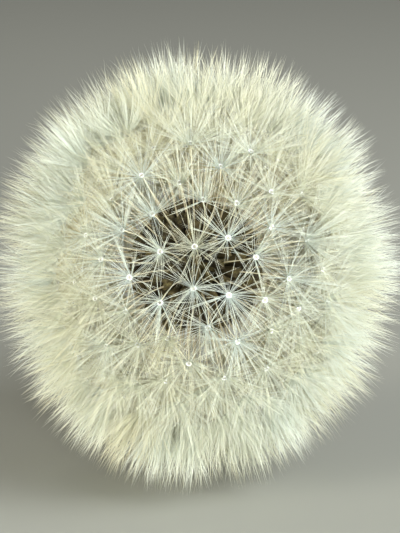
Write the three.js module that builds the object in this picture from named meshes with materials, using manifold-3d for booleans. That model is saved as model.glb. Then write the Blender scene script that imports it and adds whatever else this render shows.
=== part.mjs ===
// A dandelion seed head, picked with a length of its stalk and laid down.
// Millimetres, +Z up, z = 0 is the surface it lies on. The head's top faces -Y
// and a little up, and the stalk runs back along +Y to its cut end.
//
// Three bodies: the hollow stalk (scape), the skirt of turned-back bracts under
// the head (involucre), and the seed head itself, in which every seed is rooted
// in the receptacle, the round cushion that the stalk swells into.
import * as THREE from 'three';
import { mergeVertices } from 'three/addons/utils/BufferGeometryUtils.js';
import Module from 'manifold-3d';

const wasm = await Module();
wasm.setup();

// Driving dimensions.
const seedCount = 200;
const receptacleRadius = 4.2;
const receptacleEdge = 112; // degrees from the top, where the last seeds root
const acheneLength = 3.6;
const acheneRadius = 0.5;
const beakRadius = 0.2;
const rootDepth = 0.5;
const discReach = 16.8; // from the head's centre to the discs that carry the hairs
const discEdge = 150; // degrees from the top, where the lowest discs stand
const spiralStart = 119; // degrees round the head from +X to the first seed
const discRadius = 0.34;
const rimPoints = 4; // corners of each disc; two hairs stand at each side
const crownHeight = 0.14;
const hairLength = 7;
const wideSpread = 70; // degrees between the outer hairs and the seed's axis
const steepSpread = 27; // and between the inner hairs and it
const headWidth = 0.95; // the ball is slightly oval
const headHeight = 1.05;
const headLean = 18; // degrees that the head's top looks up from level
const centreHeight = 23.6; // the lowest hairs are pressed about 1 mm flat
const centreBack = -22.97; // the head's centre along Y, box centred on the origin
const centreAside = -0.17; // and along X
const stalkReach = 72; // from the head's centre to the cut end
const stalkRise = 0.7; // how far the cut end curves up from the head's axis
const stalkSway = 1.5;
const stalkWall = 0.7;
const stalkTopRadius = 1.7;
const stalkEndRadius = 2.1;
const clearance = 0.3; // between bodies that meet

const degree = Math.PI / 180;
const goldenAngle = Math.PI * (3 - Math.sqrt(5));

// A repeatable draw from 0 to 1 for trait k of seed i.
function draw(i, k) {
  const wave = Math.sin(i * 12.9898 + k * 78.233) * 43758.5453;
  return wave - Math.floor(wave);
}

// A point's height above the surface, from its place in the head's own frame.
function heightOf(point) {
  const lean = headLean * degree;
  return centreHeight + point.y * Math.cos(lean) + point.z * Math.sin(lean);
}

function direction(polar, azimuth) {
  return new THREE.Vector3(
    Math.sin(polar) * Math.cos(azimuth),
    Math.sin(polar) * Math.sin(azimuth),
    Math.cos(polar),
  );
}

function geometryOf(points, faces) {
  const geometry = new THREE.BufferGeometry();
  const numbers = points.flatMap((point) => [point.x, point.y, point.z]);
  geometry.setAttribute('position', new THREE.Float32BufferAttribute(numbers, 3));
  geometry.setIndex(faces.flat());
  return geometry;
}

function solidOf(geometry) {
  const bare = geometry.clone();
  bare.deleteAttribute('normal');
  bare.deleteAttribute('uv');
  const welded = mergeVertices(bare, 1e-5);
  return new wasm.Manifold(new wasm.Mesh({
    numProp: 3,
    vertProperties: new Float32Array(welded.attributes.position.array),
    triVerts: new Uint32Array(welded.index.array),
  }));
}

// Solids are joined in pairs, then the pairs in pairs, until one is left.
function joined(solids) {
  if (solids.length === 1) {
    return solids[0];
  }
  const half = Math.ceil(solids.length / 2);
  return joined(solids.slice(0, half)).add(joined(solids.slice(half)));
}

function geometryFrom(solid) {
  const mesh = solid.getMesh();
  const geometry = new THREE.BufferGeometry();
  geometry.setAttribute('position', new THREE.BufferAttribute(mesh.vertProperties, 3));
  geometry.setIndex(new THREE.BufferAttribute(mesh.triVerts, 1));
  geometry.computeVertexNormals();
  return geometry;
}

// Side faces between two rings of as many points, wound to face outwards.
function band(lower, upper, sides) {
  const faces = [];
  for (let side = 0; side < sides; side += 1) {
    const next = (side + 1) % sides;
    faces.push([lower + side, lower + next, upper + next]);
    faces.push([lower + side, upper + next, upper + side]);
  }
  return faces;
}

// ---- Receptacle: a round cushion with a flat underside, where the seeds root.
const receptacleFloor = receptacleRadius * Math.cos(receptacleEdge * degree) - 0.3;

function receptacleSolid() {
  const profile = [new THREE.Vector2(0, receptacleFloor)];
  profile.push(new THREE.Vector2(receptacleRadius * 0.86, receptacleFloor));
  const arcSteps = 5;
  for (let step = 0; step < arcSteps; step += 1) {
    const polar = receptacleEdge * degree * (1 - step / arcSteps);
    const across = receptacleRadius * Math.sin(polar);
    profile.push(new THREE.Vector2(across, receptacleRadius * Math.cos(polar)));
  }
  profile.push(new THREE.Vector2(0, receptacleRadius));
  const lathe = new THREE.LatheGeometry(profile, 12);
  lathe.rotateX(Math.PI / 2);
  return solidOf(lathe);
}

// ---- Seeds: an achene rooted in the receptacle, its thin beak, and on top a
// disc with hairs drawn out of its facets. Where each stands follows the golden
// angle, with an equal share of the receptacle and of the ball for every seed.
function seedPlace(i) {
  const share = (i + 0.5) / seedCount;
  const azimuth = i * goldenAngle + spiralStart * degree;
  const rootPolar = Math.acos(1 - share * (1 - Math.cos(receptacleEdge * degree)));
  const discPolar = Math.acos(1 - share * (1 - Math.cos(discEdge * degree)))
    + (draw(i, 1) - 0.5) * 3 * degree;
  const root = direction(rootPolar, azimuth).multiplyScalar(receptacleRadius);
  const disc = direction(discPolar, azimuth + (draw(i, 2) - 0.5) * 3 * degree)
    .multiplyScalar(discReach + (draw(i, 3) - 0.5) * 1.2)
    .multiply(new THREE.Vector3(headWidth, headHeight, 1));
  const axis = disc.clone().sub(root).normalize();
  const across = new THREE.Vector3(-Math.sin(azimuth), Math.cos(azimuth), 0);
  across.addScaledVector(axis, -across.dot(axis)).normalize();
  return { root, disc, axis, across, over: axis.clone().cross(across) };
}

function ringPoint(seed, along, radius, turn) {
  return seed.root.clone()
    .addScaledVector(seed.axis, along)
    .addScaledVector(seed.across, radius * Math.cos(turn))
    .addScaledVector(seed.over, radius * Math.sin(turn));
}

// Where a hair drawn out of the disc ends: spread is its angle from the seed's
// axis, and a hair that would reach below the surface stops on it.
function hairTip(seed, turn, spread, length) {
  const way = seed.axis.clone().multiplyScalar(Math.cos(spread))
    .addScaledVector(seed.across, Math.sin(spread) * Math.cos(turn))
    .addScaledVector(seed.over, Math.sin(spread) * Math.sin(turn));
  const tip = seed.disc.clone().addScaledVector(way, length);
  const low = heightOf(tip);
  if (low < 0) {
    const high = heightOf(seed.disc);
    tip.lerp(seed.disc, -low / (high - low));
  }
  return tip;
}

// The least gap between two tapering hairs, given as start, end and base radius.
function gapBetween(a, b) {
  const da = a.end.clone().sub(a.start);
  const db = b.end.clone().sub(b.start);
  const between = a.start.clone().sub(b.start);
  const aa = da.dot(da);
  const bb = db.dot(db);
  const ab = da.dot(db);
  const ca = da.dot(between);
  const cb = db.dot(between);
  const spread = aa * bb - ab * ab;
  let s = spread > 1e-9 ? THREE.MathUtils.clamp((ab * cb - ca * bb) / spread, 0, 1) : 0;
  const t = THREE.MathUtils.clamp((ab * s + cb) / bb, 0, 1);
  s = THREE.MathUtils.clamp((ab * t - ca) / aa, 0, 1);
  const apart = between.addScaledVector(da, s).addScaledVector(db, -t).length();
  return apart - a.radius * (1 - a.taper * s) - b.radius * (1 - b.taper * t);
}

// Room that the stalk and the bracts take up round the axis below the head.
const skirtRadius = 4.6;
const skirtBottom = -13.6;
const stalkRoom = 3.1;

function clearOfStalk(start, end) {
  const point = new THREE.Vector3();
  for (let step = 0; step <= 6; step += 1) {
    point.lerpVectors(start, end, step / 6);
    const room = point.z > skirtBottom ? skirtRadius : stalkRoom;
    if (point.z < 0 && Math.hypot(point.x, point.y) < room) {
      return false;
    }
  }
  return true;
}

const minimumGap = 0.06;
const placed = [];

function isClear(rod, near) {
  if (!clearOfStalk(rod.start, rod.end)) {
    return false;
  }
  return near.every((other) => other.seed === rod.seed || gapBetween(rod, other) > minimumGap);
}

// Each hair first tries its even place, then turns and angles beside it, and
// last of all it is shortened until it stands clear of its neighbours.
function fittedTip(seed, i, turn, spread, near) {
  for (const length of [1, 0.86, 0.72, 0.58, 0.44]) {
    for (let attempt = 0; attempt < 14; attempt += 1) {
      const sway = attempt === 0 ? 0 : (draw(i * 31 + attempt, 4 + turn) - 0.5) * 46 * degree;
      const nod = attempt === 0 ? 0 : (draw(i * 37 + attempt, 5 + turn) - 0.5) * 18 * degree;
      const end = hairTip(seed, turn + sway, spread + nod, hairLength * length);
      const rod = { start: seed.disc, end, radius: 0.2, taper: 1, seed };
      if (isClear(rod, near)) {
        placed.push(rod);
        return end;
      }
    }
  }
  return hairTip(seed, turn, spread, hairLength * 0.2);
}

const seeds = Array.from({ length: seedCount }, (_, i) => seedPlace(i));
for (const seed of seeds) {
  const start = seed.root.clone().addScaledVector(seed.axis, acheneLength * 0.5);
  placed.push({ start, end: seed.disc, radius: 0.5, taper: 0.5, seed });
}

function seedSolid(seed, i) {
  const length = seed.disc.distanceTo(seed.root);
  const rings = [
    [-rootDepth, acheneRadius * 0.3],
    [acheneLength * 0.6, acheneRadius],
    [acheneLength, beakRadius],
    [length - 0.3, beakRadius],
  ];
  const points = [];
  const faces = [[0, 2, 1]];
  for (const [along, radius] of rings) {
    for (let side = 0; side < 3; side += 1) {
      points.push(ringPoint(seed, along, radius, side * 120 * degree));
    }
  }
  for (let ring = 0; ring < rings.length - 1; ring += 1) {
    faces.push(...band(ring * 3, ring * 3 + 3, 3));
  }
  // The beak's three corners meet the disc's four: each side of the disc has
  // one beak corner under it, and each side of the beak one disc corner over it.
  const neck = (rings.length - 1) * 3;
  const neckUnderSide = [0, 1, 1, 2];
  const rimOverSide = [1, 3, 0];
  const rim = points.length;
  for (let side = 0; side < rimPoints; side += 1) {
    points.push(ringPoint(seed, length, discRadius, (side * 90 - 45) * degree));
  }
  const crown = points.length;
  points.push(ringPoint(seed, length + crownHeight, 0, 0));
  const reach = 2 * hairLength + 1.5;
  const near = placed.filter((rod) => rod.seed.disc.distanceTo(seed.disc) < reach);
  const drawHair = (corners, turn, spread) => {
    const tip = points.length;
    points.push(fittedTip(seed, i, turn * degree, spread * degree, near));
    corners.forEach((corner, place) => {
      faces.push([corner, corners[(place + 1) % 3], tip]);
    });
  };
  for (let side = 0; side < rimPoints; side += 1) {
    const next = (side + 1) % rimPoints;
    drawHair([neck + neckUnderSide[side], rim + next, rim + side], side * 90, wideSpread);
    drawHair([rim + side, rim + next, crown], side * 90, steepSpread);
  }
  rimOverSide.forEach((corner, side) => {
    faces.push([neck + side, neck + ((side + 1) % 3), rim + corner]);
  });
  return solidOf(geometryOf(points, faces));
}

function seedHeadGeometry() {
  const solids = seeds.map((seed, i) => seedSolid(seed, i));
  return geometryFrom(receptacleSolid().add(joined(solids)));
}

// ---- Stalk: a hollow stem, wider at its cut end, that flares into the head.
const stalkTop = receptacleFloor - clearance;
const stalkFlare = 0.6;

function stalkPath() {
  const third = (stalkReach + stalkTop) / 3;
  return new THREE.CubicBezierCurve3(
    new THREE.Vector3(0, 0, stalkTop),
    new THREE.Vector3(0, 0, stalkTop - third),
    new THREE.Vector3(stalkSway, stalkRise * 0.3, stalkTop - 2 * third),
    new THREE.Vector3(stalkSway * 0.3, stalkRise, -stalkReach),
  );
}

function stalkRadiusAt(share) {
  const below = share * stalkReach;
  const even = THREE.MathUtils.lerp(stalkTopRadius, stalkEndRadius, share);
  return even + stalkFlare * Math.exp(-below / 1.6);
}

function stalkGeometry() {
  const section = new THREE.Shape().absarc(0, 0, stalkTopRadius, 0, 2 * Math.PI);
  const bore = new THREE.Path().absarc(0, 0, stalkTopRadius - stalkWall, 0, 2 * Math.PI, true);
  section.holes.push(bore);
  const path = stalkPath();
  const geometry = new THREE.ExtrudeGeometry(section, {
    extrudePath: path,
    steps: 20,
    curveSegments: 6,
    bevelEnabled: false,
  });
  const positions = geometry.attributes.position;
  const point = new THREE.Vector3();
  for (let i = 0; i < positions.count; i += 1) {
    point.fromBufferAttribute(positions, i);
    const share = THREE.MathUtils.clamp((stalkTop - point.z) / (stalkTop + stalkReach), 0, 1);
    const middle = path.getPoint(share);
    const away = new THREE.Vector3(point.x - middle.x, point.y - middle.y, 0);
    const outside = away.length() > stalkTopRadius - stalkWall / 2;
    const radius = stalkRadiusAt(share) - (outside ? 0 : stalkWall);
    away.setLength(radius);
    positions.setXYZ(i, middle.x + away.x, middle.y + away.y, point.z);
  }
  return geometryFrom(solidOf(geometry));
}

// ---- Bracts: a collar round the flare, with two rows of thin keeled bracts
// turned back from it, the long inner row hanging outside the short one.
const collarBottom = stalkTop - 1.8;

function collarSolid() {
  const inner = stalkTopRadius + stalkFlare + clearance;
  const profile = [
    new THREE.Vector2(inner, stalkTop),
    new THREE.Vector2(inner - 0.3, collarBottom),
    new THREE.Vector2(inner + 0.65, collarBottom),
    new THREE.Vector2(inner + 0.85, stalkTop),
    new THREE.Vector2(inner, stalkTop),
  ];
  const lathe = new THREE.LatheGeometry(profile, 26);
  lathe.rotateX(Math.PI / 2);
  return solidOf(lathe);
}

const bractRows = [
  {
    count: 13,
    route: [[3.0, -3.1], [3.45, -4.6], [3.6, -8.6], [4.0, -13]],
    halfWidth: 0.78,
    shift: 0,
  },
  {
    count: 13,
    route: [[2.7, -3.4], [2.8, -5.4], [2.6, -8], [2.8, -10.4]],
    halfWidth: 0.56,
    shift: 0.5,
  },
];
const bractThickness = 0.65;
const bractWidths = [0.9, 1, 0.92, 0.62];

function bractSolid(row, index) {
  const azimuth = ((index + row.shift) / row.count) * 2 * Math.PI;
  const out = direction(Math.PI / 2, azimuth);
  const side = new THREE.Vector3(-out.y, out.x, 0);
  const up = new THREE.Vector3(0, 0, 1);
  const route = new THREE.SplineCurve(row.route.map(([r, z]) => new THREE.Vector2(r, z)));
  const place = (spot) => out.clone().multiplyScalar(spot.x).addScaledVector(up, spot.y);
  const points = [];
  const faces = [[0, 2, 1]];
  bractWidths.forEach((width, ring) => {
    const share = ring / bractWidths.length;
    const spot = route.getPoint(share);
    const tangent = route.getTangent(share);
    const facing = out.clone().multiplyScalar(-tangent.y).addScaledVector(up, tangent.x);
    const middle = place(spot);
    points.push(middle.clone().addScaledVector(facing, bractThickness));
    points.push(middle.clone().addScaledVector(side, -row.halfWidth * width));
    points.push(middle.clone().addScaledVector(side, row.halfWidth * width));
    if (ring > 0) {
      faces.push(...band(ring * 3 - 3, ring * 3, 3));
    }
  });
  const last = points.length - 3;
  const tip = points.length;
  points.push(place(route.getPoint(1)));
  for (let corner = 0; corner < 3; corner += 1) {
    faces.push([last + corner, last + ((corner + 1) % 3), tip]);
  }
  return solidOf(geometryOf(points, faces));
}

function bractsGeometry() {
  const solids = [collarSolid()];
  for (const row of bractRows) {
    for (let index = 0; index < row.count; index += 1) {
      solids.push(bractSolid(row, index));
    }
  }
  return geometryFrom(joined(solids));
}

// ---- The plant, built along the head's own axis and then laid down.
function piece(name, geometry, colour, roughness) {
  const material = new THREE.MeshStandardMaterial({ color: colour, roughness, metalness: 0 });
  const mesh = new THREE.Mesh(geometry, material);
  mesh.name = name;
  return mesh;
}

const group = new THREE.Group();
group.rotation.x = (90 - headLean) * degree;
group.position.set(centreAside, centreBack, centreHeight);
group.add(piece('stalk', stalkGeometry(), 0xa9ab78, 0.6));
group.add(piece('bracts', bractsGeometry(), 0x8f8f62, 0.8));
group.add(piece('seed_head', seedHeadGeometry(), 0xe4e3c8, 0.7));

export default group;
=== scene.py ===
import math

import bpy
import numpy as np
from mathutils import Matrix, Vector


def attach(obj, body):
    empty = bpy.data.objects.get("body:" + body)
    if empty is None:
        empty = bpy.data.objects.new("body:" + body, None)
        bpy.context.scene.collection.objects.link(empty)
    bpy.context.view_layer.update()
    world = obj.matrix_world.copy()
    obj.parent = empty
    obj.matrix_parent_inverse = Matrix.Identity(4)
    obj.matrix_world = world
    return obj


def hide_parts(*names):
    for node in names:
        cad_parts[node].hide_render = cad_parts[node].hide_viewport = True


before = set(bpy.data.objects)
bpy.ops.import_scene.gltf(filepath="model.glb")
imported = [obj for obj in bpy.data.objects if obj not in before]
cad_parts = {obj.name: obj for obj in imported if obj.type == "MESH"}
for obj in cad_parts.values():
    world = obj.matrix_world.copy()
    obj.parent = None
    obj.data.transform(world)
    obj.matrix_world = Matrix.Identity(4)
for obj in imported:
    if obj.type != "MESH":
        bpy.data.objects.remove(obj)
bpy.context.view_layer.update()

# ---- Stalk
# The scape is one hollow tube of watery green skin that reddens towards the ground,
# with faint ribs along it. It swells into the head at one end and was picked at the
# other, where the uneven cut shows the wall. Sizes are millimetres from the middle of
# the ball along the head's own axis: place() lays the plant down with them.
MM = 0.001
HEAD_LEAN = math.radians(18)
HEAD_CENTRE = Vector((-0.17, -22.97, 23.6)) * MM
LAID_DOWN = Matrix.Translation(HEAD_CENTRE) @ Matrix.Rotation(math.radians(90) - HEAD_LEAN, 4, "X")
STALK_TOP = -2.17
STALK_REACH = 72.0
STALK_RISE = 0.7
STALK_SWAY = 1.5
STALK_WALL = 0.7
STALK_RADII = (1.7, 2.1)
STALK_FLARE = 0.6
STALK_FLARE_LENGTH = 1.6
STALK_RIBS = 14
STALK_RIB_DEPTH = 0.035
STALK_SIDES, STALK_STEPS = 84, 70


def place(points):
    """Points of the head's own axis system, in millimetres, as places in the scene."""
    turned = np.asarray(points, float) @ np.array(LAID_DOWN.to_3x3()).T
    return turned * MM + np.array(LAID_DOWN.translation)


def deselect_all():
    """Leaves edit mode and clears the selection."""
    if bpy.context.object and bpy.context.object.mode != "OBJECT":
        bpy.ops.object.mode_set(mode="OBJECT")
    bpy.ops.object.select_all(action="DESELECT")


def points_of(piece):
    """The places of a piece's vertices."""
    return np.array([vertex.co for vertex in piece.data.vertices])


def lay_down(piece, points):
    """Gives a modelled piece its points, in millimetres along the axis, laid down."""
    piece.data.vertices.foreach_set("co", place(points).ravel())
    piece.matrix_world = Matrix.Identity(4)
    piece.data.update()


def paint(piece, name, values):
    """Keeps one number per vertex on a piece, for its material to read."""
    layer = piece.data.attributes.new(name, "FLOAT", "POINT")
    layer.data.foreach_set("value", np.asarray(values, np.float32).ravel())


def linear(colour):
    """A colour as Blender takes it, from its sRGB hex."""
    channels = [int(colour[k : k + 2], 16) / 255 for k in (1, 3, 5)]
    return (*[c / 12.92 if c <= 0.04045 else ((c + 0.055) / 1.055) ** 2.4 for c in channels], 1.0)


def add_node(material, kind, settings=None, links=None):
    """Adds a node, sets its properties or input sockets, and links its inputs."""
    tree = material.node_tree
    node = tree.nodes.new(kind)
    for key, value in (settings or {}).items():
        if isinstance(key, str) and hasattr(node, key):
            setattr(node, key, value)
        else:
            node.inputs[key].default_value = value
    for key, socket in (links or {}).items():
        tree.links.new(socket, node.inputs[key])
    return node


def new_material(name):
    """A material with no nodes yet."""
    material = bpy.data.materials.new(name)
    material.use_nodes = True
    material.node_tree.nodes.clear()
    return material


# The rings lie closest together near the head, where the tube swells.
deselect_all()
bpy.ops.mesh.primitive_circle_add(vertices=STALK_SIDES, radius=1.0, fill_type="NOTHING")
stalk = bpy.context.object
stalk.name = "hollow_stalk"
bpy.ops.object.mode_set(mode="EDIT")
bpy.ops.mesh.select_all(action="SELECT")
for step in range(STALK_STEPS):
    bpy.ops.mesh.extrude_region_move(TRANSFORM_OT_translate={"value": (0, 0, -1)})
bpy.ops.mesh.select_all(action="SELECT")
bpy.ops.mesh.normals_make_consistent(inside=False)
bpy.ops.object.mode_set(mode="OBJECT")
tube = points_of(stalk)
share = -tube[:, 2] / STALK_STEPS
share = 0.35 * share + 0.65 * share**1.6
turn = np.arctan2(tube[:, 1], tube[:, 0])
third = (STALK_REACH + STALK_TOP) / 3
guides = np.array(
    [
        [0, 0, STALK_TOP],
        [0, 0, STALK_TOP - third],
        [STALK_SWAY, STALK_RISE * 0.3, STALK_TOP - 2 * third],
        [STALK_SWAY * 0.3, STALK_RISE, -STALK_REACH],
    ]
)
weights = [math.comb(3, k) * share**k * (1 - share) ** (3 - k) for k in range(4)]
route = np.array(weights).T @ guides
radius = STALK_RADII[0] + (STALK_RADII[1] - STALK_RADII[0]) * share
radius = radius + STALK_FLARE * np.exp(-share * STALK_REACH / STALK_FLARE_LENGTH)
radius = radius + STALK_RIB_DEPTH * (np.cos(STALK_RIBS * turn) - 1)
torn = 0.22 * np.sin(3 * turn + 1) + 0.1 * np.sin(7 * turn) + 0.06 * np.sin(17 * turn)
torn = np.where(share > 0.999, torn, 0)
skin = route + np.stack([radius * np.cos(turn), radius * np.sin(turn), torn], axis=1)
lay_down(stalk, skin)
paint(stalk, "share", share)
paint(stalk, "turn", turn / math.pi)
wall = stalk.modifiers.new("wall", "SOLIDIFY")
wall.thickness = STALK_WALL * MM
wall.offset = -1
wall.use_rim = True
bpy.ops.object.modifier_apply(modifier=wall.name)
bpy.ops.object.shade_smooth_by_angle(angle=math.radians(50))

# Fresh plant skin: a thin waxy layer over watery tissue, so it has a soft sheen and
# some light goes in. The red of the lower part fades out in streaks along the ribs.
stalk_skin = new_material("waxy_stalk_skin")
stalk_share = add_node(stalk_skin, "ShaderNodeAttribute", {"attribute_name": "share"})
stalk_turn = add_node(stalk_skin, "ShaderNodeAttribute", {"attribute_name": "turn"})
streak_at = add_node(
    stalk_skin,
    "ShaderNodeCombineXYZ",
    None,
    {"X": stalk_share.outputs["Fac"], "Y": stalk_turn.outputs["Fac"]},
)
streak_map = add_node(
    stalk_skin,
    "ShaderNodeMapping",
    {"Scale": (2.5, 22.0, 1.0)},
    {"Vector": streak_at.outputs[0]},
)
streaks = add_node(
    stalk_skin,
    "ShaderNodeTexNoise",
    {"Scale": 1.0, "Detail": 3.0},
    {"Vector": streak_map.outputs[0]},
)
reddening = add_node(
    stalk_skin,
    "ShaderNodeMath",
    {"operation": "MULTIPLY", "use_clamp": True},
    {0: stalk_share.outputs["Fac"], 1: streaks.outputs["Fac"]},
)
stalk_colour = add_node(
    stalk_skin,
    "ShaderNodeMix",
    {"data_type": "RGBA", 6: linear("#A9B07C"), 7: linear("#A27A62")},
    {0: reddening.outputs[0]},
)
stalk_bump = add_node(
    stalk_skin,
    "ShaderNodeBump",
    {"Strength": 0.25, "Distance": 0.00008},
    {"Height": streaks.outputs["Fac"]},
)
stalk_shader = add_node(
    stalk_skin,
    "ShaderNodeBsdfPrincipled",
    {
        "Roughness": 0.42,
        "IOR": 1.42,
        "Subsurface Weight": 0.15,
        "Subsurface Radius": (1.0, 0.8, 0.3),
        "Subsurface Scale": 0.0008,
    },
    {"Base Color": stalk_colour.outputs[2], "Normal": stalk_bump.outputs[0]},
)
add_node(stalk_skin, "ShaderNodeOutputMaterial", None, {"Surface": stalk_shader.outputs[0]})
stalk.data.materials.append(stalk_skin)
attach(stalk, "root")
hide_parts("stalk")

# ---- Bracts
# The green cup that held the flower has dried and turned back: a fleshy collar round
# the swelling, a long row of narrow bracts that hangs down the stalk from it, and a
# short row inside that one. Each bract is a thin keeled strip with a pale dry edge.
# Profile and routes are pairs of distance from the axis and place along it.
COLLAR_PROFILE = [
    (2.62, -2.2),
    (3.3, -2.25),
    (3.42, -2.7),
    (3.38, -3.3),
    (3.22, -3.9),
    (2.6, -4.0),
    (2.34, -3.9),
]
BRACTS_A_ROW = 13
BRACT_ROWS = [
    {"shift": 0.0, "half_width": 0.78, "route": [(3.05, -2.9), (3.75, -4.2), (3.9, -8.6), (4.3, -13.0)]},
    {"shift": 0.5, "half_width": 0.56, "route": [(2.8, -3.3), (3.1, -5.2), (2.9, -8.0), (3.1, -10.4)]},
]
BRACT_THICKNESS = 0.24
GOLDEN_ANGLE = math.pi * (3 - math.sqrt(5))


def draw(i, k):
    """A repeatable draw from 0 to 1 for trait k of piece i."""
    wave = math.sin(i * 12.9898 + k * 78.233) * 43758.5453
    return wave - math.floor(wave)


def along_route(route, shares):
    """Places and headings along a smooth line through a route's points."""
    spots = np.array(route)
    knots = np.linspace(0, 1, len(spots))
    fine = np.linspace(0, 1, 60)
    line = np.stack([np.polyval(np.polyfit(knots, spots[:, k], 3), fine) for k in (0, 1)], axis=1)
    gone = np.concatenate([[0], np.cumsum(np.linalg.norm(np.diff(line, axis=0), axis=1))])
    at = np.stack([np.interp(shares * gone[-1], gone, line[:, k]) for k in (0, 1)], axis=1)
    ahead = np.gradient(line, axis=0)
    ahead /= np.linalg.norm(ahead, axis=1, keepdims=True)
    heading = np.stack([np.interp(shares * gone[-1], gone, ahead[:, k]) for k in (0, 1)], axis=1)
    return at, heading


bract_pieces = []
for row_number, row in enumerate(BRACT_ROWS):
    for index in range(BRACTS_A_ROW):
        draws = [draw(row_number * 40 + index, k) for k in range(11, 17)]
        deselect_all()
        bpy.ops.mesh.primitive_grid_add(x_subdivisions=6, y_subdivisions=18, size=1)
        bract = bpy.context.object
        # The strip is widest in its middle, cupped with a keel, wavy, and lifts at its tip.
        flat = points_of(bract)
        aside, down = flat[:, 0] * 2, 0.5 - flat[:, 1]
        at, heading = along_route(row["route"], down * (0.94 + 0.12 * draws[0]))
        width = row["half_width"] * (0.8 + 0.9 * down - 0.4 * down**2) * (1 - 0.55 * down**3)
        width = width * np.sqrt(np.clip(1.03 - down**4, 0, 1))
        cupped = 0.28 * aside**2 * width - 0.1 * np.exp(-(aside * 5) ** 2)
        waved = 0.06 * np.sin(down * 17 + draws[1] * 6 + 2 * aside) * down
        lifted = (draws[2] - 0.4) * 0.5 * down**3
        proud = waved + lifted - cupped
        across = aside * width + (draws[3] - 0.5) * 0.7 * down**2
        reach = at[:, 0] - heading[:, 1] * proud
        height = at[:, 1] + heading[:, 0] * proud
        turn = (index + row["shift"] + (draws[4] - 0.5) * 0.16) / BRACTS_A_ROW * 2 * math.pi
        swing = (draws[5] - 0.5) * 0.5 * down
        across, reach = across * np.cos(swing), reach + across * np.sin(swing)
        x = reach * math.cos(turn) - across * math.sin(turn)
        y = reach * math.sin(turn) + across * math.cos(turn)
        lay_down(bract, np.stack([x, y, height], axis=1))
        paint(bract, "down", down)
        paint(bract, "aside", aside)
        thick = bract.modifiers.new("thickness", "SOLIDIFY")
        thick.thickness = BRACT_THICKNESS * MM
        thick.offset = 0
        bpy.ops.object.modifier_apply(modifier=thick.name)
        bract_pieces.append(bract)

deselect_all()
bpy.ops.mesh.primitive_circle_add(vertices=52, radius=1.0, fill_type="NOTHING")
collar = bpy.context.object
bpy.ops.object.mode_set(mode="EDIT")
bpy.ops.mesh.select_all(action="SELECT")
for step in range(len(COLLAR_PROFILE) - 1):
    bpy.ops.mesh.extrude_region_move(TRANSFORM_OT_translate={"value": (0, 0, -1)})
bpy.ops.mesh.select_all(action="SELECT")
bpy.ops.mesh.bridge_edge_loops()
bpy.ops.mesh.select_all(action="SELECT")
bpy.ops.mesh.normals_make_consistent(inside=False)
bpy.ops.object.mode_set(mode="OBJECT")
ring = points_of(collar)
turn = np.arctan2(ring[:, 1], ring[:, 0])
profile = np.array(COLLAR_PROFILE)[np.rint(-ring[:, 2]).astype(int)]
reach = profile[:, 0] + 0.07 * np.cos(BRACTS_A_ROW * turn) * (profile[:, 0] > 3)
lay_down(collar, np.stack([reach * np.cos(turn), reach * np.sin(turn), profile[:, 1]], axis=1))
paint(collar, "down", np.zeros(len(turn)))
paint(collar, "aside", np.zeros(len(turn)))

deselect_all()
for piece in [*bract_pieces, collar]:
    piece.select_set(True)
bpy.context.view_layer.objects.active = collar
bpy.ops.object.join()
bracts = collar
bracts.name = "turned_back_bracts"
bpy.ops.object.shade_smooth_by_angle(angle=math.radians(55))

# Dry leaf: dull grey green gone brown towards the tips, with a papery pale margin and
# fine veins along it. It has no wax left, so it is matt.
dry_bract = new_material("dry_bract")
bract_down = add_node(dry_bract, "ShaderNodeAttribute", {"attribute_name": "down"})
bract_aside = add_node(dry_bract, "ShaderNodeAttribute", {"attribute_name": "aside"})
bract_at = add_node(dry_bract, "ShaderNodeTexCoord")
blotches = add_node(
    dry_bract,
    "ShaderNodeTexNoise",
    {"Scale": 700.0, "Detail": 4.0, "Roughness": 0.6},
    {"Vector": bract_at.outputs["Object"]},
)
browning = add_node(
    dry_bract,
    "ShaderNodeMath",
    {"operation": "MULTIPLY_ADD", "use_clamp": True, 1: 0.75},
    {0: bract_down.outputs["Fac"], 2: blotches.outputs["Fac"]},
)
browned = add_node(
    dry_bract,
    "ShaderNodeMapRange",
    {"From Min": 0.35, "From Max": 1.15},
    {"Value": browning.outputs[0]},
)
leaf_colour = add_node(
    dry_bract,
    "ShaderNodeMix",
    {"data_type": "RGBA", 6: linear("#7F8A56"), 7: linear("#7A6142")},
    {0: browned.outputs[0]},
)
edge_near = add_node(
    dry_bract,
    "ShaderNodeMath",
    {"operation": "ABSOLUTE"},
    {0: bract_aside.outputs["Fac"]},
)
edge_fade = add_node(
    dry_bract,
    "ShaderNodeMapRange",
    {"From Min": 0.6, "From Max": 1.0, "To Max": 0.8},
    {"Value": edge_near.outputs[0]},
)
bract_colour = add_node(
    dry_bract,
    "ShaderNodeMix",
    {"data_type": "RGBA", 7: linear("#C9BE9A")},
    {0: edge_fade.outputs[0], 6: leaf_colour.outputs[2]},
)
vein_way = add_node(
    dry_bract,
    "ShaderNodeMath",
    {"operation": "MULTIPLY", 1: 24.0},
    {0: bract_aside.outputs["Fac"]},
)
veins = add_node(dry_bract, "ShaderNodeMath", {"operation": "SINE"}, {0: vein_way.outputs[0]})
bract_bump = add_node(
    dry_bract,
    "ShaderNodeBump",
    {"Strength": 0.3, "Distance": 0.00005},
    {"Height": veins.outputs[0]},
)
bract_shader = add_node(
    dry_bract,
    "ShaderNodeBsdfPrincipled",
    {"Roughness": 0.78, "IOR": 1.4, "Specular IOR Level": 0.3},
    {"Base Color": bract_colour.outputs[2], "Normal": bract_bump.outputs[0]},
)
add_node(dry_bract, "ShaderNodeOutputMaterial", None, {"Surface": bract_shader.outputs[0]})
bracts.data.materials.append(dry_bract)
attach(bracts, "root")
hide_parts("bracts")

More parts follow.
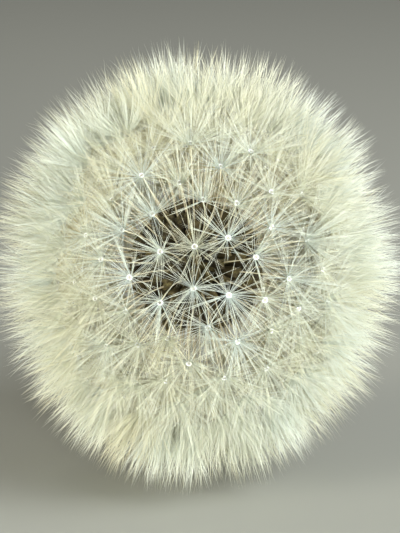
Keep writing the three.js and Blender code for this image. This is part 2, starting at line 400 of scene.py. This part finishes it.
# ---- Receptacle
# The stalk's end swells into a round cushion of pithy tissue, flat underneath. Every
# seed stands in a shallow pit of its own on it, in the spirals of the old florets.
SEED_COUNT = 200
RECEPTACLE_RADIUS = 4.2
RECEPTACLE_EDGE = math.radians(112)
RECEPTACLE_FLOOR = -1.87
SPIRAL_START = math.radians(119)
PIT_DEPTH, PIT_RADIUS = 0.12, 0.3


def direction(polar, azimuth):
    """The unit vector at an angle from the head's axis, turned round it."""
    flat = math.sin(polar)
    return np.array([flat * math.cos(azimuth), flat * math.sin(azimuth), math.cos(polar)])


def spiral(i, edge):
    """Angles of the i-th seed, with equal room for each seed out to the edge."""
    return math.acos(1 - (i + 0.5) / SEED_COUNT * (1 - math.cos(edge))), i * GOLDEN_ANGLE + SPIRAL_START


roots = RECEPTACLE_RADIUS * np.array([direction(*spiral(i, RECEPTACLE_EDGE)) for i in range(SEED_COUNT)])
deselect_all()
bpy.ops.mesh.primitive_uv_sphere_add(segments=96, ring_count=56, radius=RECEPTACLE_RADIUS)
receptacle = bpy.context.object
receptacle.name = "pitted_receptacle"
dome = points_of(receptacle)
nearest = np.min(np.linalg.norm(dome[:, None] - roots[None], axis=2), axis=1)
pit = PIT_DEPTH * np.exp(-((nearest / PIT_RADIUS) ** 2))
dome *= (1 - pit / RECEPTACLE_RADIUS)[:, None]
under = dome[:, 2] < RECEPTACLE_FLOOR
dome[under, :2] *= 0.95
dome[:, 2] = np.maximum(dome[:, 2], RECEPTACLE_FLOOR)
lay_down(receptacle, dome)
bpy.ops.object.shade_smooth()

# Dry pith, painted a near-black brown that stands for the shade deep in the ball; matt, with a grain of
# about 0.3 mm where its cells show.
pith = new_material("dry_pith")
pith_at = add_node(pith, "ShaderNodeTexCoord")
pith_cells = add_node(
    pith,
    "ShaderNodeTexVoronoi",
    {"Scale": 3000.0},
    {"Vector": pith_at.outputs["Object"]},
)
pith_colour_and_painted_shade = add_node(
    pith,
    "ShaderNodeMix",
    {"data_type": "RGBA", 6: linear("#201D0D"), 7: linear("#443D22")},
    {0: pith_cells.outputs["Distance"]},
)
pith_bump = add_node(
    pith,
    "ShaderNodeBump",
    {"Strength": 0.4, "Distance": 0.00008},
    {"Height": pith_cells.outputs["Distance"]},
)
pith_shader = add_node(
    pith,
    "ShaderNodeBsdfPrincipled",
    {"Roughness": 0.9, "IOR": 1.4, "Specular IOR Level": 0.2},
    {"Base Color": pith_colour_and_painted_shade.outputs[2], "Normal": pith_bump.outputs[0]},
)
add_node(pith, "ShaderNodeOutputMaterial", None, {"Surface": pith_shader.outputs[0]})
receptacle.data.materials.append(pith)
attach(receptacle, "root")

# ---- Achenes
# Each seed is a hard brown fruit with ribs along it and a few small spines near its
# top, held in its pit by its narrow end. It points from its pit to its own disc, and
# the discs share the ball as evenly as the pits share the receptacle.
DISC_REACH = 16.8
DISC_EDGE = math.radians(150)
DISC_SWAY = math.radians(3)
HEAD_WIDTH, HEAD_HEIGHT = 0.95, 1.05
ACHENE_LENGTH = 3.6
ACHENE_PROFILE = [(-0.4, 0.16), (0.3, 0.25), (1.3, 0.42), (2.3, 0.5), (2.85, 0.46), (3.2, 0.24), (3.6, 0.1)]
ACHENE_SIDES = 10
SPINE_LEVEL = 4  # step of the profile that bears the spines
seeds = []
for i in range(SEED_COUNT):
    polar, azimuth = spiral(i, DISC_EDGE)
    disc = direction(polar + (draw(i, 1) - 0.5) * DISC_SWAY, azimuth + (draw(i, 2) - 0.5) * DISC_SWAY)
    disc = disc * (DISC_REACH + (draw(i, 3) - 0.5) * 1.2) * np.array([HEAD_WIDTH, HEAD_HEIGHT, 1])
    axis = (disc - roots[i]) / np.linalg.norm(disc - roots[i])
    across = np.array([-math.sin(azimuth), math.cos(azimuth), 0])
    across = across - axis * (across @ axis)
    across /= np.linalg.norm(across)
    seeds.append({"disc": disc, "axis": axis, "across": across, "over": np.cross(axis, across)})
discs = np.array([seed["disc"] for seed in seeds])
seed_frames = np.array([[seed["across"], seed["over"], seed["axis"]] for seed in seeds])


def repeated(piece, points, starts, frames):
    """Makes a modelled piece into one mesh of its copies, one in each frame."""
    shape = [list(face.vertices) for face in piece.data.polygons]
    every = np.einsum("vk,nkj->nvj", points, frames) + starts[:, None]
    offsets = range(0, len(starts) * len(points), len(points))
    faces = [[vertex + offset for vertex in face] for offset in offsets for face in shape]
    mesh = bpy.data.meshes.new(piece.name)
    mesh.from_pydata(place(every.reshape(-1, 3)).tolist(), [], faces)
    piece.data = mesh
    piece.matrix_world = Matrix.Identity(4)


deselect_all()
bpy.ops.mesh.primitive_circle_add(vertices=ACHENE_SIDES, radius=1.0, fill_type="NOTHING")
achenes = bpy.context.object
achenes.name = "ribbed_achenes"
bpy.ops.object.mode_set(mode="EDIT")
bpy.ops.mesh.select_all(action="SELECT")
for step in range(len(ACHENE_PROFILE) - 1):
    bpy.ops.mesh.extrude_region_move(TRANSFORM_OT_translate={"value": (0, 0, 1)})
bpy.ops.mesh.select_all(action="SELECT")
bpy.ops.mesh.normals_make_consistent(inside=False)
bpy.ops.object.mode_set(mode="OBJECT")
fruit = points_of(achenes)
turn = np.arctan2(fruit[:, 1], fruit[:, 0])
level = np.rint(fruit[:, 2]).astype(int)
profile = np.array(ACHENE_PROFILE)[level]
rib = np.where(np.rint(turn / (2 * math.pi / ACHENE_SIDES)).astype(int) % 2 == 0, 1.12, 0.84)
spine = np.where((rib > 1) & (level == SPINE_LEVEL), 0.16, 0.0)
reach = profile[:, 1] * rib + spine
fruit = np.stack([reach * np.cos(turn), reach * np.sin(turn), profile[:, 0] + spine * 1.4], axis=1)
girths = np.array([0.9 + 0.2 * draw(i, 8) for i in range(SEED_COUNT)])
lengths = np.array([0.86 + 0.24 * draw(i, 5) for i in range(SEED_COUNT)])
sizes = np.stack([girths, girths, lengths], axis=1)
repeated(achenes, fruit, roots, seed_frames * sizes[:, :, None])
paint(achenes, "tone", np.repeat([draw(i, 6) for i in range(SEED_COUNT)], len(fruit)))
paint(achenes, "along", np.tile(profile[:, 0] / ACHENE_LENGTH, SEED_COUNT))

# Dry fruit wall: hard and woody, dull brown with straw shoulders, each its own tone; the brown is painted
# darker than the fruit's own, as shade deep inside the ball.
fruit_wall = new_material("dry_fruit_wall")
fruit_tone = add_node(fruit_wall, "ShaderNodeAttribute", {"attribute_name": "tone"})
fruit_along = add_node(fruit_wall, "ShaderNodeAttribute", {"attribute_name": "along"})
fruit_at = add_node(fruit_wall, "ShaderNodeTexCoord")
fruit_grain = add_node(
    fruit_wall,
    "ShaderNodeTexNoise",
    {"Scale": 3500.0, "Detail": 3.0},
    {"Vector": fruit_at.outputs["Object"]},
)
fruit_brown_and_painted_shade = add_node(
    fruit_wall,
    "ShaderNodeMix",
    {"data_type": "RGBA", 6: linear("#1F1A0D"), 7: linear("#423A21")},
    {0: fruit_tone.outputs["Fac"]},
)
shoulder = add_node(
    fruit_wall,
    "ShaderNodeMath",
    {"operation": "MULTIPLY"},
    {0: fruit_along.outputs["Fac"], 1: fruit_grain.outputs["Fac"]},
)
shoulder_fade = add_node(
    fruit_wall,
    "ShaderNodeMapRange",
    {"From Min": 0.4, "From Max": 0.75, "To Max": 0.55},
    {"Value": shoulder.outputs[0]},
)
fruit_colour = add_node(
    fruit_wall,
    "ShaderNodeMix",
    {"data_type": "RGBA", 7: linear("#767044")},
    {0: shoulder_fade.outputs[0], 6: fruit_brown_and_painted_shade.outputs[2]},
)
fruit_shader = add_node(
    fruit_wall,
    "ShaderNodeBsdfPrincipled",
    {"Roughness": 0.7, "IOR": 1.45, "Specular IOR Level": 0.3},
    {"Base Color": fruit_colour.outputs[2]},
)
add_node(fruit_wall, "ShaderNodeOutputMaterial", None, {"Surface": fruit_shader.outputs[0]})
achenes.data.materials.append(fruit_wall)
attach(achenes, "root")

# ---- Beaks
# A stiff thread as fine as a hair stands on each achene, grown from it, and carries
# the disc of its parachute. Most are a little bowed.
BEAK_SIDES = 4
BEAK_STEPS = np.array([0, 0.25, 0.5, 0.75, 1.0, 1.004])
BEAK_RADII = (0.1, 0.065, 0.045, 0.045, 0.08, 0.08)
BEAK_BOW = 0.9


def threads(paths, radii, sides):
    """Points and faces of tapering threads, each closed by its last step."""
    count, steps, _ = paths.shape
    ahead = np.gradient(paths, axis=1)
    ahead /= np.linalg.norm(ahead, axis=2, keepdims=True) + 1e-12
    helper = np.where(np.abs(ahead[..., 2:3]) < 0.9, [[[0, 0, 1.0]]], [[[1.0, 0, 0]]])
    u = np.cross(ahead, helper)
    u /= np.linalg.norm(u, axis=2, keepdims=True) + 1e-12
    v = np.cross(ahead, u)
    turns = np.arange(sides) * 2 * np.pi / sides
    ring = u[:, :-1, None, :] * np.cos(turns)[None, None, :, None]
    ring = ring + v[:, :-1, None, :] * np.sin(turns)[None, None, :, None]
    rings = paths[:, :-1, None, :] + ring * radii[:, :-1, None, None]
    points = np.concatenate([rings.reshape(count, -1, 3), paths[:, -1:, :]], axis=1)
    side = np.arange(sides)
    following = (side + 1) % sides
    starts = np.arange(steps - 2)[:, None] * sides
    near, far = starts + side, starts + following
    quads = np.stack([near, far, far + sides, near + sides], axis=2)
    last = (steps - 2) * sides
    tips = np.stack([last + side, last + following, np.full(sides, last + sides)], axis=1)
    base = (np.arange(count) * points.shape[1])[:, None, None]
    faces = (quads.reshape(-1, 4)[None] + base).reshape(-1, 4).tolist()
    return points, faces + (tips[None] + base).reshape(-1, 3).tolist()


def thread_piece(name, points, faces, material):
    """A smooth piece made of threads, laid down, in one material."""
    mesh = bpy.data.meshes.new(name)
    mesh.from_pydata(place(points.reshape(-1, 3)).tolist(), [], faces)
    mesh.polygons.foreach_set("use_smooth", [True] * len(mesh.polygons))
    mesh.materials.append(material)
    piece = bpy.data.objects.new(name, mesh)
    bpy.context.scene.collection.objects.link(piece)
    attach(piece, "root")
    return piece


# Dry straw thread: cream, turning brown where it leaves the fruit, slightly glossy.
beak_straw = new_material("beak_straw")
beak_along = add_node(beak_straw, "ShaderNodeAttribute", {"attribute_name": "along"})
beak_colour = add_node(
    beak_straw,
    "ShaderNodeMix",
    {"data_type": "RGBA", 6: linear("#7E745A"), 7: linear("#CFCBB0")},
    {0: beak_along.outputs["Fac"]},
)
beak_shader = add_node(
    beak_straw,
    "ShaderNodeBsdfPrincipled",
    {"Roughness": 0.5, "IOR": 1.5},
    {"Base Color": beak_colour.outputs[2]},
)
add_node(beak_straw, "ShaderNodeOutputMaterial", None, {"Surface": beak_shader.outputs[0]})
fruit_tops = roots + seed_frames[:, 2] * ACHENE_LENGTH * lengths[:, None]
bow = np.array([[draw(i, 20) - 0.5, draw(i, 21) - 0.5] for i in range(SEED_COUNT)]) * BEAK_BOW
bowed = np.einsum("nk,nkj->nj", bow, seed_frames[:, :2])
paths = fruit_tops[:, None] + (discs - fruit_tops)[:, None] * BEAK_STEPS[:, None]
paths = paths + bowed[:, None] * np.sin(np.minimum(BEAK_STEPS, 1) * math.pi)[:, None]
beak_points, beak_faces = threads(paths, np.tile(BEAK_RADII, (SEED_COUNT, 1)), BEAK_SIDES)
beaks = thread_piece("beaks", beak_points, beak_faces, beak_straw)
beak_pale = np.append(np.repeat(BEAK_STEPS[:-1] ** 0.45, BEAK_SIDES), 1.0)
paint(beaks, "along", np.tile(beak_pale, SEED_COUNT))

# ---- Discs
# Each beak ends in a tiny white ring round a dull flat button, and the hairs of the
# parachute stand on the ring. It is one growth with the beak.
RING_RADIUS = 0.25
RING_THICKNESS = 0.078
BUTTON_RADIUS = 0.22
BUTTON_SINK = 0.03
deselect_all()
bpy.ops.mesh.primitive_uv_sphere_add(segments=10, ring_count=5, radius=BUTTON_RADIUS)
button = bpy.context.object
bpy.ops.mesh.primitive_torus_add(
    major_segments=12,
    minor_segments=5,
    major_radius=RING_RADIUS,
    minor_radius=RING_THICKNESS,
)
rings = bpy.context.object
rings.name = "pappus_discs"
ring_count = len(rings.data.vertices)
button.select_set(True)
bpy.ops.object.join()
ring_shape = points_of(rings)
ring_shape[ring_count:, 2] = ring_shape[ring_count:, 2] * 0.35 - BUTTON_SINK
core = (np.arange(len(ring_shape)) >= ring_count).astype(float)
repeated(rings, ring_shape, discs, seed_frames)
paint(rings, "core", np.tile(core, SEED_COUNT))
bpy.ops.object.shade_smooth()

# Dry tissue: chalk white on the ring, straw grey on the button, matt on both.
disc_tissue = new_material("dry_disc_tissue")
disc_core = add_node(disc_tissue, "ShaderNodeAttribute", {"attribute_name": "core"})
disc_colour = add_node(
    disc_tissue,
    "ShaderNodeMix",
    {"data_type": "RGBA", 6: linear("#F2F6F8"), 7: linear("#9C9C92")},
    {0: disc_core.outputs["Fac"]},
)
disc_shader = add_node(
    disc_tissue,
    "ShaderNodeBsdfPrincipled",
    {"Roughness": 0.8, "IOR": 1.45, "Specular IOR Level": 0.3},
    {"Base Color": disc_colour.outputs[2]},
)
add_node(disc_tissue, "ShaderNodeOutputMaterial", None, {"Surface": disc_shader.outputs[0]})
rings.data.materials.append(disc_tissue)
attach(rings, "root")

# ---- Pappus
# The parachute of each seed is a brush of white hairs that stand on its disc. On the crown it has few, even
# rays. Lower it fills and opens wide, at the ball's side it closes to tufts with a few long hairs, and
# behind it is open again and painted straw, which stands for the shade it lies in.
HAIRS = 236  # in a full brush
CROWN_SHARE = 0.44  # of them in a brush on the crown
HAIR_RADIUS = 0.015
HAIR_LENGTH, SIDE_EXTRA = 6.5, 1.5
HAIR_SIDES = 3
HAIR_STEPS = np.array([0.0, 0.3, 0.66, 1.0])
HAIR_TAPER = np.array([1.4, 1.0, 1.0, 0.6])
FOOT_SINK = 0.06
BALL_RADIUS = 24.65  # no hair ends further out
REST_GAP = 0.03  # between the surface and the hairs that lie on it
HEAD_FLOOR, BRACT_TIPS = -3, -13.6  # places along the axis
BRACT_ROOM, STALK_ROOM = 4.6, 2.6  # from the axis, kept clear of hairs
rng = np.random.default_rng(7)

# Hair of clear dry cell walls: each hair lets light through and scatters it, so deep brushes glow cream,
# and the hairs of some seeds have aged to straw. The straw on the seeds behind is painted shade, and the
# bluish white at the feet is a painted sky reflection.
pappus_hair = new_material("pappus_hair")
hair_along = add_node(pappus_hair, "ShaderNodeAttribute", {"attribute_name": "along"})
hair_age_and_shade = add_node(pappus_hair, "ShaderNodeAttribute", {"attribute_name": "age_and_shade"})
# Near the disc the hair is painted a bluish white that stands for a reflection of the sky; the tip keeps
# the hair's own cream white.
fresh_colour_and_sky_reflection = add_node(
    pappus_hair,
    "ShaderNodeMix",
    {"data_type": "RGBA", 6: linear("#E0EAEE"), 7: linear("#EBF1E8")},
    {0: hair_along.outputs["Fac"]},
)
hair_colour = add_node(
    pappus_hair,
    "ShaderNodeMix",
    {"data_type": "RGBA", 7: linear("#DFD8AE")},
    {0: hair_age_and_shade.outputs["Fac"], 6: fresh_colour_and_sky_reflection.outputs[2]},
)
hair_front = add_node(
    pappus_hair,
    "ShaderNodeBsdfPrincipled",
    {"Roughness": 0.45, "Specular IOR Level": 0.4, "IOR": 1.53},
    {"Base Color": hair_colour.outputs[2]},
)
hair_glow = add_node(
    pappus_hair,
    "ShaderNodeMix",
    {"data_type": "RGBA", "blend_type": "MULTIPLY", 0: 1.0, 7: linear("#FEFEF8")},
    {6: hair_colour.outputs[2]},
)
hair_through = add_node(
    pappus_hair,
    "ShaderNodeBsdfTranslucent",
    None,
    {"Color": hair_glow.outputs[2]},
)
hair_mix = add_node(
    pappus_hair,
    "ShaderNodeMixShader",
    {0: 0.5},
    {1: hair_front.outputs[0], 2: hair_through.outputs[0]},
)
add_node(pappus_hair, "ShaderNodeOutputMaterial", None, {"Surface": hair_mix.outputs[0]})


def ramp(angle, start, end):
    """How far an angle has gone from a start to an end, from 0 to 1."""
    return min(1.0, max(0.0, (angle - start) / (end - start)))


def brush(i, seed):
    """The hairs of one parachute: their paths, radii, age and painted shade, and how far the painted sky
    reflection on their feet fades.
    """
    # How far the seed lies from the crown says how full, open and straw-coloured its brush is; behind, the
    # straw is painted shade.
    polar = math.degrees(math.acos(seed["axis"][2]))
    outer = ramp(polar, 50, 80)
    dense = ramp(polar, 28, 49)
    rear = ramp(polar, 88, 126)
    n = int(HAIRS * (CROWN_SHARE + (1 - CROWN_SHARE) * dense) + rng.integers(-7, 8))
    openness = 37 + 21 * dense - 33 * outer + 40 * rear + rng.normal(0, 6)

    # Hairs in one lock cling together. A few locks lie out flat.
    locks = int((0.9 - 0.38 * outer) * n)
    lock = np.sort(rng.integers(0, locks, n))
    lock_turn = (np.arange(locks) * GOLDEN_ANGLE + rng.normal(0, 0.15, locks))[lock]
    lock_spread = np.clip(rng.normal(openness, 20 - 7 * outer + 5 * rear, locks), 5, 88)
    stray = rng.random(locks) < 0.035
    lock_spread = np.where(stray, rng.uniform(72, 96, locks), lock_spread)[lock]

    # Most hairs are fill, nearly as long as the rest of their lock. A few are strong.
    forward = np.clip((50 - lock_spread) / 25, 0, 1) * outer
    strong = rng.random(n) < 0.05 + 0.09 * forward
    fill = rng.uniform(0.76 - 0.24 * outer, 1.0, locks)[lock] * rng.uniform(0.93, 1.0, n)
    share = np.where(strong, rng.uniform(0.9, 1.15, n), fill)
    longest = BALL_RADIUS - np.linalg.norm(seed["disc"] / [HEAD_WIDTH, HEAD_HEIGHT, 1])
    length = np.minimum((HAIR_LENGTH + SIDE_EXTRA * outer) * rng.normal(0.98, 0.07) * share, longest)

    # Each hair leaves the ring with a slight bend, and those that point forward meet.
    root_apart = (3 + 3 * outer) * rng.normal(0, 1, (2, n))
    tip_apart = (1.8 + 2.2 * outer - 2.8 * forward) * rng.normal(0, 1, (2, n))
    apart = root_apart[..., None] * (1 - HAIR_STEPS) + tip_apart[..., None] * HAIR_STEPS
    bend = rng.normal(4 + 6 * outer, 4 + 3 * outer, n)
    spread = np.radians(lock_spread[:, None] + apart[0] + bend[:, None] * (0.5 - HAIR_STEPS))
    sine = np.maximum(np.sin(np.radians(lock_spread)), 0.3)
    turn = lock_turn[:, None] + np.radians(apart[1]) / sine[:, None]
    gone = length[:, None] * HAIR_STEPS
    out = RING_RADIUS * (0.8 + 0.25 * np.sin(spread[:, :1])) + np.sin(spread) * gone
    up = np.cos(spread) * gone - FOOT_SINK
    paths = seed["disc"] + up[..., None] * seed["axis"]
    paths = paths + (out * np.cos(turn))[..., None] * seed["across"]
    paths = paths + (out * np.sin(turn))[..., None] * seed["over"]

    thick = HAIR_RADIUS - 0.002 * dense + 0.002 * outer + 0.007 * rear
    thick = rng.uniform(0.75, 1.25, n) * thick
    thick = np.where(strong, thick * (1.5 + 0.6 * outer), thick)
    # Each seed's hair has a random age of its own and a little more straw on the shoulder; the straw on the
    # seeds behind is painted shade, for the shade they lie in at the back of the ball.
    straw_and_shade = 0.38 * draw(i, 9) ** 1.6 + 0.06 + 0.11 * dense * (1 - outer) + 0.55 * ramp(polar, 92, 124)
    age_and_shade = np.clip(rng.normal(straw_and_shade, 0.08, n), 0, 1)
    # How far the painted sky reflection on the feet fades: it stays on the crown and fades on the shoulder
    # and side.
    return paths, thick[:, None] * HAIR_TAPER, age_and_shade, np.full(n, 0.55 * dense + 0.1 * outer)


def settle(paths):
    """Bends hairs along the surface and round the stalk where they would go through."""
    world = place(paths)
    low = np.maximum(REST_GAP * MM - world[..., 2], 0)
    world[..., 2] += low
    outward = world[..., :2] - np.array(HEAD_CENTRE[:2])
    outward /= np.linalg.norm(outward, axis=-1, keepdims=True) + 1e-9
    world[..., :2] += outward * low[..., None] * 0.8
    paths = (world - np.array(LAID_DOWN.translation)) @ np.array(LAID_DOWN.to_3x3()) / MM
    flat = np.linalg.norm(paths[..., :2], axis=-1)
    room = np.where(paths[..., 2] > BRACT_TIPS, BRACT_ROOM, STALK_ROOM)
    close = (paths[..., 2] < HEAD_FLOOR) & (flat < room)
    scale = np.where(close, room / np.maximum(flat, 1e-6), 1)
    paths[..., :2] *= scale[..., None]
    return paths


PAPPUS_PARTS = {
    "pappus_crown": range(0, 50),
    "pappus_shoulder": range(50, 100),
    "pappus_waist": range(100, 150),
    "pappus_underside": range(150, 200),
}
for name, members in PAPPUS_PARTS.items():
    brushes = [brush(i, seeds[i]) for i in members]
    paths = settle(np.concatenate([each[0] for each in brushes]))
    radii = np.concatenate([each[1] for each in brushes])
    ages_and_shade = np.concatenate([each[2] for each in brushes])
    sky_reflection_fade = np.concatenate([each[3] for each in brushes])
    points, faces = threads(paths, radii, HAIR_SIDES)
    hairs = thread_piece(name, points, faces, pappus_hair)
    # Along each hair, raised at the feet where the painted sky reflection fades.
    along = np.tile(np.append(np.repeat(HAIR_STEPS[:-1], HAIR_SIDES), 1.0), len(paths))
    paint(hairs, "along", np.maximum(along, np.repeat(sky_reflection_fade, points.shape[1])))
    paint(hairs, "age_and_shade", np.repeat(ages_and_shade, points.shape[1]))
    if name == "pappus_crown":
        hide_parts("seed_head")

# ---- Surface, light and camera
# A plain pale table, a large soft lamp high on the right, a warmer one low on the left,
# a small one low in front, a faint one behind and a pale room. The camera looks at the
# crown of the head, nearly along its axis and from so near that the ball fills its view.

# Matt board: an even warm grey that gives no highlight.
table_top = new_material("matt_table")
table_shader = add_node(
    table_top,
    "ShaderNodeBsdfPrincipled",
    {"Base Color": linear("#868880"), "Roughness": 0.9},
)
add_node(table_top, "ShaderNodeOutputMaterial", None, {"Surface": table_shader.outputs[0]})
deselect_all()
bpy.ops.mesh.primitive_plane_add(size=4)
floor = bpy.context.object
floor.name = "floor"
floor.data.materials.append(table_top)
world = bpy.data.worlds.new("studio")
world.use_nodes = True
world.node_tree.nodes["Background"].inputs[0].default_value = linear("#ECEBE6")
world.node_tree.nodes["Background"].inputs[1].default_value = 0.2
bpy.context.scene.world = world


def from_head(elevation, azimuth, away):
    """A place seen from the head: azimuth turns from the camera's side towards +X."""
    flat = away * math.cos(elevation)
    side = Vector((math.sin(azimuth) * flat, -math.cos(azimuth) * flat, away * math.sin(elevation)))
    return HEAD_CENTRE + side


def lamp(name, at, size, watts, colour):
    """A square area lamp that faces the head."""
    data = bpy.data.lights.new(name, "AREA")
    data.size = size
    data.energy = watts
    data.color = linear(colour)[:3]
    light = bpy.data.objects.new(name, data)
    light.location = at
    light.rotation_euler = (HEAD_CENTRE - at).to_track_quat("-Z", "Y").to_euler()
    bpy.context.scene.collection.objects.link(light)


lamp("key", from_head(math.radians(34), math.radians(58), 0.7), 0.4, 8.3, "#F4F6FA")
lamp("warm_side", from_head(math.radians(12), math.radians(-62), 0.7), 0.24, 7.3, "#FFF9EE")
lamp("low_front", from_head(math.radians(6), math.radians(16), 0.7), 0.14, 8.4, "#FFFCF6")
lamp("back", from_head(math.radians(60), math.radians(180), 0.8), 0.4, 0.4, "#FFF8EC")

CAMERA_AWAY = 0.22
CAMERA_RISE = math.radians(15.2)
CAMERA_TURN = math.radians(-1.4)
AIM_ASIDE = 0.35
ROWS_PER_MM = 9.13
PICTURE_ROWS = 533
camera_data = bpy.data.cameras.new("camera")
camera_data.sensor_fit = "VERTICAL"
camera_data.sensor_height = 24.0
camera_data.lens = camera_data.sensor_height * ROWS_PER_MM * CAMERA_AWAY / MM / PICTURE_ROWS
camera_data.clip_start = 0.005
camera = bpy.data.objects.new("camera", camera_data)
aside = Vector((AIM_ASIDE, 0, 0)) * MM
aim = HEAD_CENTRE + aside
camera.location = from_head(CAMERA_RISE, CAMERA_TURN, CAMERA_AWAY) + aside
camera.rotation_euler = (aim - camera.location).to_track_quat("-Z", "Y").to_euler()
bpy.context.scene.collection.objects.link(camera)
bpy.context.scene.camera = camera
bpy.context.scene.view_settings.view_transform = "Standard"
